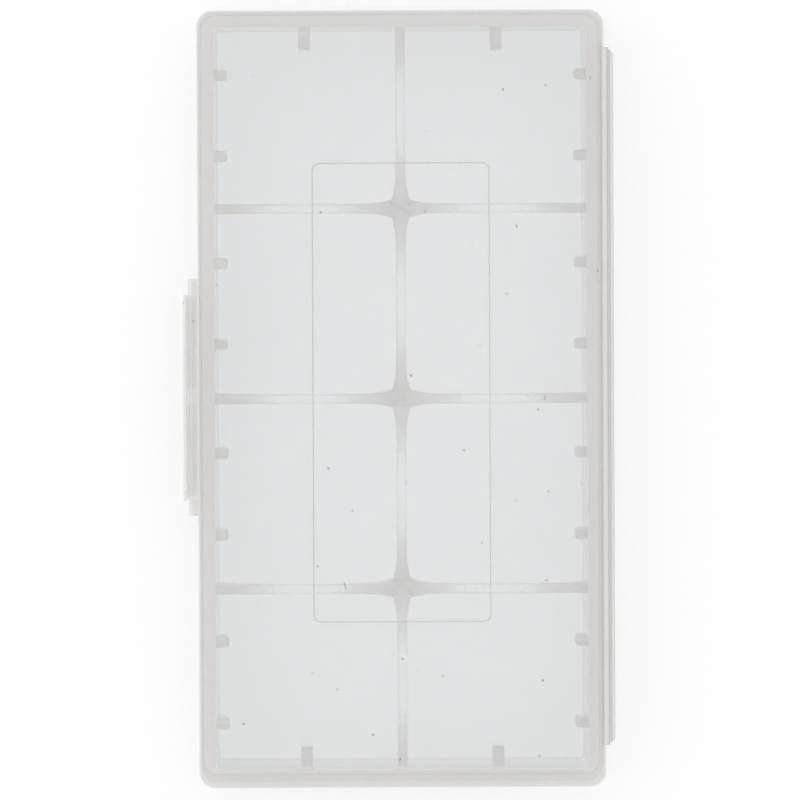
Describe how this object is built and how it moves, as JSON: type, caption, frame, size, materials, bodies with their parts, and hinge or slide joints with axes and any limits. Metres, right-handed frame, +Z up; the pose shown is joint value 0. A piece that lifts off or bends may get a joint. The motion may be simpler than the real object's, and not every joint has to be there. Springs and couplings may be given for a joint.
{
  "type": "battery case",
  "caption": "Flat translucent clamshell case with a film hinge, a snap latch and scooped cradle ribs, for storing round cells lying side by side.",
  "frame": {"origin": "on the underside, below the middle of the outline with the hinge and the latch in it", "axes": "+Z up out of the labelled upper face, +Y along the case, +X towards the film hinge"},
  "size_m": [0.0436, 0.0778, 0.0216],
  "materials": {
    "polypropylene": "natural translucent polypropylene, satin as moulded"
  },
  "bodies": {
    "lower_half": {"lower_shell": "polypropylene", "catch_ledge": "polypropylene", "lower_hinge_leaf": "polypropylene", "hinge_film": "polypropylene"},
    "upper_half": {"upper_shell": "polypropylene", "upper_hinge_leaf": "polypropylene", "centre_rib": "polypropylene", "cross_rib_left_1": "polypropylene", "cross_rib_left_2": "polypropylene", "cross_rib_left_3": "polypropylene", "cross_rib_right_1": "polypropylene", "cross_rib_right_2": "polypropylene", "cross_rib_right_3": "polypropylene", "side_rib_left_1": "polypropylene", "side_rib_left_2": "polypropylene", "side_rib_left_3": "polypropylene", "side_rib_left_4": "polypropylene", "side_rib_left_5": "polypropylene", "side_rib_left_6": "polypropylene", "side_rib_left_7": "polypropylene", "side_rib_left_8": "polypropylene", "side_rib_right_1": "polypropylene", "side_rib_right_2": "polypropylene", "side_rib_right_3": "polypropylene", "side_rib_right_4": "polypropylene", "side_rib_right_5": "polypropylene", "side_rib_right_6": "polypropylene", "side_rib_right_7": "polypropylene", "side_rib_right_8": "polypropylene", "end_stop_front_left": "polypropylene", "end_stop_front_right": "polypropylene", "end_stop_rear_left": "polypropylene", "end_stop_rear_right": "polypropylene"},
    "latch": {"latch_flap": "polypropylene"}
  },
  "joints": [
    {"name": "shell_hinge", "type": "hinge", "parent": "lower_half", "child": "upper_half", "pos_m": [0.02186, 0, 0.011], "axis": [0, 1, 0], "range_deg": [0, 180], "deforming": ["hinge_film"]},
    {"name": "latch_flex", "type": "hinge", "parent": "upper_half", "child": "latch", "pos_m": [-0.02016, 0, 0.01175], "axis": [0, 1, 0], "range_deg": [0, 13], "stiffness_Nm_per_rad": 0.03}
  ]
}
